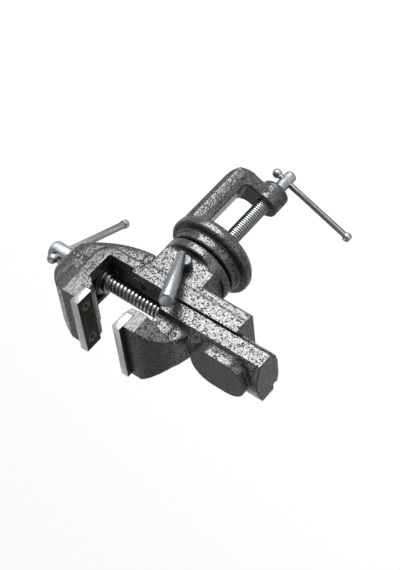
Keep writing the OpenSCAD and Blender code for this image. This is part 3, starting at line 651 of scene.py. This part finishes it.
def milled_slide(points):
    """The moving jaw's flanks, the slide bar's underside and the anvil, where no edge wears round."""
    return jaw_flank(points) | near_height(points, SLIDE_UNDERSIDE, MILLED_DEPTH) | on_anvil(points)


def full_slide(points):
    """The slide bar's sides swell a little between its underside and its crown."""
    x, _, z = points.T
    swell = faded(z, SWELL_LOW, 0.3 * MM) * faded(z, SWELL_HIGH, -5 * MM) * (x < SWELL_FRONT)
    points[:, 1] *= 1 + SWELL_SHARE * swell
    return points


def build_slide():
    """The slide bar, neck, moving jaw and anvil, one casting with bare flanks and a milled anvil."""
    mesh = cast("sliding_jaw_casting", "sliding_jaw", 0.6 * MM, 3, milled_slide, 0.62, full_slide)
    give_faces(mesh, 1, lambda centres, normals: jaw_flank(centres) & (np.abs(normals[:, 1]) > 0.9))
    give_faces(mesh, 2, lambda centres, normals: on_anvil(centres) & (normals[:, 2] > 0.95))
    add_piece("sliding_jaw_casting", mesh, "jaw", "cast_paint", [ENAMEL, SWEPT, MILLED], "sliding_jaw")


def nowhere(points):
    """No points: the clamp isn't machined where it shows."""
    return np.zeros(len(points), bool)


def build_clamp():
    """The clamp's casting, painted all over."""
    mesh = cast("clamp_casting", "clamp_frame", 0.66 * MM, 4, nowhere, 0.8)
    add_piece("clamp_casting", mesh, "clamp", "cast_paint", [ENAMEL], "clamp_frame")


def build_plates():
    """The jaws' plates: ground all round, blackened on their broad faces, partly as painted shade, and sawn
    at their ends.
    """
    for node, body in (("fixed_jaw_plate", "vise"), ("sliding_jaw_plate", "jaw")):
        mesh = softened(node + "_ground", node, 0.25 * MM)
        give_faces(mesh, 1, lambda centres, normals: np.abs(normals[:, 0]) > 0.8)
        give_faces(mesh, 2, lambda centres, normals: np.abs(normals[:, 1]) > 0.8)
        add_piece(node + "_ground", mesh, body, "plate_steel", [GROUND, BLACKED_AND_SHADED, SAWN], node)


def add_stood(name, mesh, stood, body, slot, materials, node):
    """Adds a piece whose mesh is built along local Z and stood in place by a matrix."""
    piece = add_piece(name, mesh, body, slot, materials, node)
    piece.matrix_world = stood


def build_main_screw():
    """The long screw, with its thread up to the drilled head."""
    pitch, root, crest = 3.6 * MM, 5.0 * MM, 6.1 * MM
    shoulder = SCREW_HIGH.x - MAIN_HEAD_LENGTH
    stood = stood_along((1, 0, 0), SCREW_AXIS)
    head = softened("main_screw_head", "main_screw", 0.2 * MM,
                    cuts=[(Vector((shoulder - 0.01 * MM, 0, 0)), Vector((-1, 0, 0)))])
    head.transform(stood.inverted())
    rod = thread("main_screw_thread", crest, root, pitch, SCREW_LOW.x, shoulder + 0.5 * MM, 0.42, 0.5)
    mesh = joined("main_screw_turned", rod, head)
    shade(mesh, 45)
    give_faces(mesh, 1, lambda centres, normals: centres[:, 2] > shoulder)
    threaded = threaded_material("bright main thread", root, crest, grey(0.4, -0.03))
    add_stood("main_screw_turned", mesh, stood, "screw", "screw_steel", [threaded, BRIGHT], "main_screw")


def build_clamp_screw():
    """The clamp's screw, with its thread between the drilled head and the tip in the pad."""
    pitch, root, crest = 2 * MM, 5.3 * MM, 6.1 * MM
    middle = (CLAMP_SCREW_LOW + CLAMP_SCREW_HIGH) / 2
    stood = stood_along((0, 0, 1), (middle.x, middle.y, 0))
    low, high = CLAMP_SCREW_LOW.z + CLAMP_HEAD_LENGTH, CLAMP_THREAD_TOP
    head = softened("clamp_screw_head", "clamp_screw", 0.2 * MM,
                    cuts=[(Vector((0, 0, low)), Vector((0, 0, 1)))])
    tip = softened("clamp_screw_tip", "clamp_screw", 0.2 * MM,
                   cuts=[(Vector((0, 0, high)), Vector((0, 0, -1)))])
    for part in (head, tip):
        part.transform(stood.inverted())
    rod = thread("clamp_screw_thread", crest, root, pitch, low, high, 0.3, 0.6, per_turn=14)
    mesh = joined("clamp_screw_turned", rod, head, tip)
    shade(mesh, 45)
    give_faces(mesh, 1, lambda centres, normals: (centres[:, 2] < low) | (centres[:, 2] > high))
    threaded = threaded_material("zinc clamp thread", root, crest, (0.34, 0.37, 0.35, 1))
    add_stood("clamp_screw_turned", mesh, stood, "clamp_screw", "screw_steel",
              [threaded, ZINC], "clamp_screw")


def button_end(ball, bore):
    """A short button with rounded edges, as (radius, height) points."""
    return [(bore, -0.6 * ball)] + rounding((0.82 * ball, -0.48 * ball), 0.12 * ball, -90, 0, 4) \
        + rounding((0.6 * ball, 0.5 * ball), 0.34 * ball, 0, 84, 7)


def flatted_ball(ball, bore):
    """A ball with a flat in front."""
    return [(bore, -0.72 * ball)] + rounding((0, -0.1 * ball), ball, -38, 48, 10) \
        + rounding((0.5 * ball, 0.55 * ball), 0.16 * ball, 40, 88, 3)


def build_bar(name, joint, body, far_end, rod_material, ends_material):
    """A tommy bar along its joint's axis, with a ball on its near end and a cap on its far end."""
    stood = stood_in(name, JOINTS[joint]["axis"])
    rod, ends = local_points(name, stood), local_points(name + "_ends", stood)
    radius, half, ease = rod[:, 0].max(), rod[:, 2].max(), 0.4 * MM
    profile = [(0, -half), (radius - ease, -half)] \
        + rounding((radius - ease, ease - half), ease, -90, 0, 4) \
        + rounding((radius - ease, half - ease), ease, 0, 90, 4) + [(0, half)]
    add_stood(name + "_drawn", turned(name + "_drawn", profile), stood, body, "bar_steel",
              [rod_material], name)
    parts = []
    for side in (-1, 1):
        ball = np.abs(ends[ends[:, 2] * side > 0][:, 0]).max()
        if side > 0:
            shape = rounding((0, 0), ball, -math.degrees(math.acos(radius / ball)), 78, 14)
        else:
            shape = far_end(ball, radius)
        end = turned(name + "_end", [(0, 0), (radius, 0)] + shape + [(0, shape[-1][1] + 0.02 * ball)])
        if side < 0:
            end.transform(Matrix.Rotation(math.pi, 4, "X"))
        end.transform(Matrix.Translation((0, 0, side * half)))
        parts.append(end)
    mesh = joined(name + "_ends_pressed", *parts)
    shade(mesh, 40)
    add_stood(name + "_ends_pressed", mesh, stood, body, "bar_steel", [ends_material], name + "_ends")


def build_lever():
    """The lever's tapered rod, with a round at its thin end and a broad bevel at its thick end."""
    points = np.array([vertex.co for vertex in NODES["lock_lever"].data.vertices])
    axis = Vector(np.linalg.svd(points - points.mean(axis=0), full_matrices=False)[2][0])
    stood = stood_in("lock_lever", axis if axis.z > 0 else -axis)
    local = local_points("lock_lever", stood)
    half, radii = local[:, 2].max(), np.hypot(local[:, 0], local[:, 1])
    thin, thick = radii[local[:, 2] < 1.3 * MM - half].max(), radii.max()
    ease, bevel = 1 * MM, 0.22 * thick
    profile = [(0, -half)] + rounding((thin - ease, ease - half), ease, -90, 0) \
        + [(thick, half - bevel), (thick - 0.1 * bevel, half - 0.8 * bevel),
           (thick - bevel, half - 0.06 * bevel), (thick - 1.2 * bevel, half), (0, half)]
    add_stood("lock_lever_turned", turned("lock_lever_turned", profile), stood, "lock", "lever_steel",
              [SATIN], "lock_lever")


# The small parts keep the CAD's form: node, body, slot, width of the softened edges in mm, and finish
SMALL_PARTS = (
    ("swivel_post", "clamp", "screw_steel", 0.3, ZINC),
    ("clamp_pad", "pad", "screw_steel", 0.3, ZINC),
    ("lock_screw", "lock", "lever_steel", 0.5, BLASTED),
    ("screw_washer", "screw", "screw_steel", 0.25, ZINC),
    ("screw_collar", "screw", "screw_steel", 0.4, ZINC),
    ("collar_pin", "screw", "screw_steel", 0.2, ZINC),
    ("fixed_plate_screws", "vise", "black_screws", 0.15, SOCKETS),
    ("sliding_plate_screws", "jaw", "black_screws", 0.15, SOCKETS),
)

build_body()
build_slide()
build_clamp()
build_lever()
build_plates()
build_main_screw()
build_clamp_screw()
# The main bar takes the rod's lit copy and the clamp bar its shaded copy, as painted light and shade
build_bar("main_bar", "main_bar_slide", "main_bar", button_end, PLATED_ROD_LIT_COPY, BRIGHT)
build_bar("clamp_bar", "clamp_bar_slide", "clamp_bar", flatted_ball, PLATED_ROD_SHADED_COPY, ZINC)
for node, body, slot, width, material in SMALL_PARTS:
    add_piece(node + "_turned", softened(node + "_turned", node, width * MM), body, slot, [material], node)


# Stage

FLOOR_Z, FLOOR_HALF = -300 * MM, 4.0
FLOOR_SEEN, FLOOR_MIRRORED = 0.62, 0.22
WORLD_LEVEL, OVERHEAD_LEVEL = 0.4, 0.34
HORIZON_HEIGHT, OVERHEAD_HEIGHT = 0.02, 0.42

# The camera's place, the ways behind it and up, and its lens and sensor in mm
CAMERA_PLACE = (-0.5408, -0.9738, 0.5790)
CAMERA_BACK, CAMERA_UP = Vector((-0.4293, -0.7884, 0.4405)), Vector((0.4521, -0.6098, -0.6509))
CAMERA_LENS, CAMERA_SENSOR = 147.1, 36

# The softboxes: name, what each points at, the way to it, its distance, width, height and radiance
SOFTBOXES = (
    ("side softbox", (-0.19, -0.022, 0.07), (0.432, -0.786, -0.441), 0.6, 0.46, 0.4, 11.6),
    ("wide softbox", (0.03, -0.022, 0.04), (0.56, -0.7, -0.44), 0.8, 0.8, 0.6, 0.7),
    ("left softbox", (-0.02, -0.02, 0.06), (-0.7, -0.57, -0.44), 0.7, 0.4, 0.4, 2.5),
    ("right softbox", (0.03, 0.0, 0.0), (0.86, 0.24, -0.44), 0.7, 0.3, 0.3, 0.6),
    ("edge light", (0.0, 0.0, 0.08), (0.43, -0.887, 0.166), 0.8, 0.6, 0.1, 1.0),
    ("top softbox", (0.0, 0.0, 0.08), (0.1, 0.16, 0.98), 0.8, 0.6, 1.1, 0.9),
)


def build_world():
    """White at the horizon, as the backdrop is, and dimmer overhead for what reflects it."""
    world = bpy.data.worlds.new("white studio")
    bpy.context.scene.world = world
    world.use_nodes = True
    tree = world.node_tree
    background = tree.nodes["Background"]
    background.inputs["Color"].default_value = (1, 1, 1, 1)
    path = add_node(tree, "ShaderNodeLightPath").outputs
    height = add_node(tree, "ShaderNodeSeparateXYZ",
                      {0: add_node(tree, "ShaderNodeTexCoord").outputs["Generated"]}).outputs[2]
    mirrored = math_node(tree, "MAXIMUM", path["Is Glossy Ray"], path["Is Transmission Ray"])
    overhead = ramp(tree, height, HORIZON_HEIGHT, OVERHEAD_HEIGHT, 1.0, OVERHEAD_LEVEL)
    lit = ramp(tree, mirrored, 0.0, 1.0, WORLD_LEVEL, overhead)
    tree.links.new(ramp(tree, path["Is Camera Ray"], 0.0, 1.0, lit, 1.0), background.inputs["Strength"])


def build_floor():
    """A matt floor that the camera sees as white, with the vise's shadow on it."""
    corners = [(x * FLOOR_HALF, y * FLOOR_HALF, FLOOR_Z) for x, y in ((-1, -1), (1, -1), (1, 1), (-1, 1))]
    mesh = bpy.data.meshes.new("floor")
    mesh.from_pydata(corners, [], [(0, 1, 2, 3)])
    floor = bpy.data.objects.new("floor", mesh)
    bpy.context.scene.collection.objects.link(floor)
    material, tree, shader = new_material("white floor", 0.0, 0.9, grey(0.8), Emission_Color=(1, 1, 1, 1))
    path = add_node(tree, "ShaderNodeLightPath").outputs
    seen = math_node(tree, "MULTIPLY", path["Is Camera Ray"], FLOOR_SEEN)
    mirrored = math_node(tree, "MULTIPLY", path["Is Glossy Ray"], FLOOR_MIRRORED)
    tree.links.new(math_node(tree, "MAXIMUM", seen, mirrored), shader["Emission Strength"])
    mesh.materials.append(material)


def build_softbox(name, target, towards, distance, width, height, radiance):
    """A rectangular area lamp at a distance from a target, seen in reflections only."""
    lamp = bpy.data.lights.new(name, "AREA")
    lamp.shape = "RECTANGLE"
    lamp.size, lamp.size_y = width, height
    lamp.energy = radiance * math.pi * width * height
    holder = bpy.data.objects.new(name, lamp)
    bpy.context.scene.collection.objects.link(holder)
    holder.matrix_world = stood_along(towards, Vector(target) + Vector(towards).normalized() * distance)
    holder.visible_camera = False


def build_camera():
    """The photograph's camera, at its place above the front of the vise."""
    lens = bpy.data.cameras.new("camera")
    lens.sensor_fit = "HORIZONTAL"
    lens.sensor_width, lens.lens = CAMERA_SENSOR, CAMERA_LENS
    camera = bpy.data.objects.new("camera", lens)
    bpy.context.scene.collection.objects.link(camera)
    turn = Matrix((CAMERA_UP.cross(CAMERA_BACK), CAMERA_UP, CAMERA_BACK)).transposed().to_4x4()
    camera.matrix_world = Matrix.Translation(CAMERA_PLACE) @ turn
    bpy.context.scene.camera = camera


build_world()
build_floor()
for softbox in SOFTBOXES:
    build_softbox(*softbox)
build_camera()
bpy.context.scene.view_settings.view_transform = "Standard"
